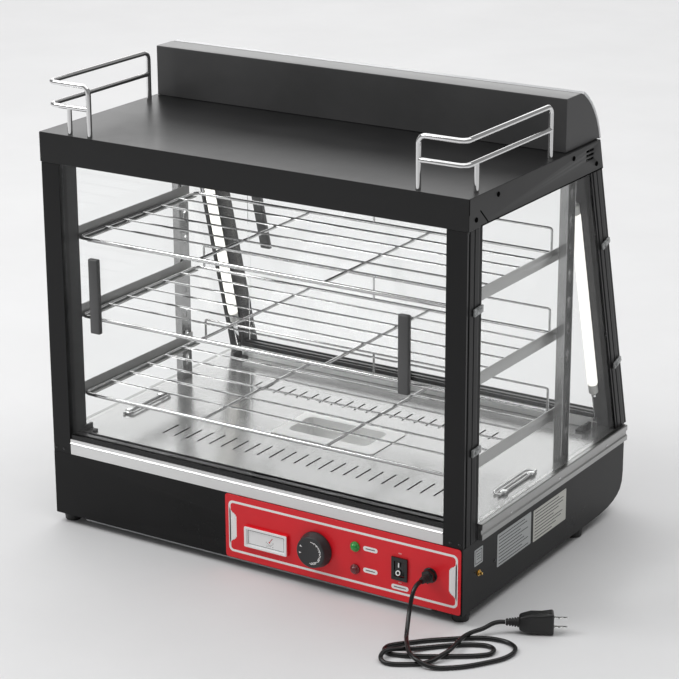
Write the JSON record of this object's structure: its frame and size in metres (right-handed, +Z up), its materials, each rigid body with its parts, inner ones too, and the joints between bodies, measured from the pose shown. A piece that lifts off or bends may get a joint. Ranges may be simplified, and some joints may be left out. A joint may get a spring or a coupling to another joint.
{
  "type": "hot food display case",
  "caption": "Counter-top heated display case: three wire shelves on a humidified deck, sliding glass doors on both long sides, sloping customer side, guard rails and hood on top.",
  "frame": {"origin": "middle of the case's footprint on the surface that it stands on, measured without the cord and plug", "axes": "+X to the right along the operator's side, +Y from the operator's side to the customer's side, +Z up"},
  "size_m": [0.7913, 0.6157, 0.639],
  "materials": {
    "black_paint": "satin powder coat",
    "grey_paint": "smooth, semi-gloss",
    "red_paint": "satin, with a printed white border",
    "galvanised": "galvanised, dull",
    "stainless": "brushed stainless",
    "chrome": "bright plated",
    "black_anodised": "black anodised extrusion",
    "clear_glass": "clear, polished edges",
    "lamp_glass": "opal, glowing warm white",
    "black_rubber": "matt",
    "heater_sheath": "heat-stained sheath",
    "bright_bezel": "satin bezel",
    "green_lens": "translucent dome",
    "red_lens": "translucent dome",
    "black_plastic": "moulded, fine texture"
  },
  "bodies": {
    "cabinet": {"base_shell": "black_paint", "bottom_plate": "galvanised", "control_panel": "red_paint", "cord_gland": "black_plastic", "deck_plate": "stainless", "far_post_left": "black_anodised", "far_post_right": "black_anodised", "far_track_lower": "black_anodised", "far_track_upper": "black_anodised", "foot_far_left": "black_rubber", "foot_far_right": "black_rubber", "foot_near_left": "black_rubber", "foot_near_right": "black_rubber", "guard_rail_left": "chrome", "guard_rail_right": "chrome", "heating_element": "heater_sheath", "hood_box": "black_paint", "hood_curved_panel": "grey_paint", "lamp_tube_left": "lamp_glass", "lamp_tube_right": "lamp_glass", "near_post_left": "black_anodised", "near_post_right": "black_anodised", "near_track_lower": "black_anodised", "near_track_upper": "black_anodised", "pilot_light_green": "green_lens", "pilot_light_red": "red_lens", "power_cord": "black_rubber", "power_plug": "black_plastic", "rear_curb": "stainless", "rocker_frame": "black_plastic", "shelf_bracket_bottom_left": "stainless", "shelf_bracket_bottom_right": "stainless", "shelf_bracket_middle_left": "stainless", "shelf_bracket_middle_right": "stainless", "shelf_bracket_top_left": "stainless", "shelf_bracket_top_right": "stainless", "side_glass_left": "clear_glass", "side_glass_right": "clear_glass", "thermometer": "bright_bezel", "thermostat_body": "black_plastic", "top_cap": "black_paint", "trim_front": "stainless", "trim_left": "stainless", "trim_right": "stainless", "upright_left": "stainless", "upright_right": "stainless", "wire_shelf_bottom": "chrome", "wire_shelf_middle": "chrome", "wire_shelf_top": "chrome"},
    "near_left_door": {"near_door_left_glass": "clear_glass", "near_door_left_handle": "black_plastic"},
    "near_right_door": {"near_door_right_glass": "clear_glass", "near_door_right_handle": "black_plastic"},
    "far_left_door": {"far_door_left_glass": "clear_glass", "far_door_left_handle": "black_plastic"},
    "far_right_door": {"far_door_right_glass": "clear_glass", "far_door_right_handle": "black_plastic"},
    "knob": {"thermostat_knob": "black_plastic"},
    "rocker": {"rocker_button": "black_plastic"},
    "pan": {"water_pan": "stainless"}
  },
  "joints": [
    {"name": "near_left_door_slide", "type": "slide", "parent": "cabinet", "child": "near_left_door", "axis": [1, 0, 0], "range_m": [0, 0.29]},
    {"name": "near_right_door_slide", "type": "slide", "parent": "cabinet", "child": "near_right_door", "axis": [-1, 0, 0], "range_m": [0, 0.29]},
    {"name": "far_left_door_slide", "type": "slide", "parent": "cabinet", "child": "far_left_door", "axis": [1, 0, 0], "range_m": [0, 0.29]},
    {"name": "far_right_door_slide", "type": "slide", "parent": "cabinet", "child": "far_right_door", "axis": [-1, 0, 0], "range_m": [0, 0.29]},
    {"name": "thermostat_turn", "type": "hinge", "parent": "cabinet", "child": "knob", "pos_m": [0.109, -0.22297, 0.058], "axis": [0, 1, 0], "range_deg": [0, 270]},
    {"name": "rocker_tip", "type": "hinge", "parent": "cabinet", "child": "rocker", "pos_m": [0.238, -0.22057, 0.06], "axis": [1, 0, 0], "range_deg": [0, 18]},
    {"name": "water_pan_lift", "type": "slide", "parent": "cabinet", "child": "pan", "axis": [0, 0, 1], "range_m": [0, 0.05]}
  ]
}
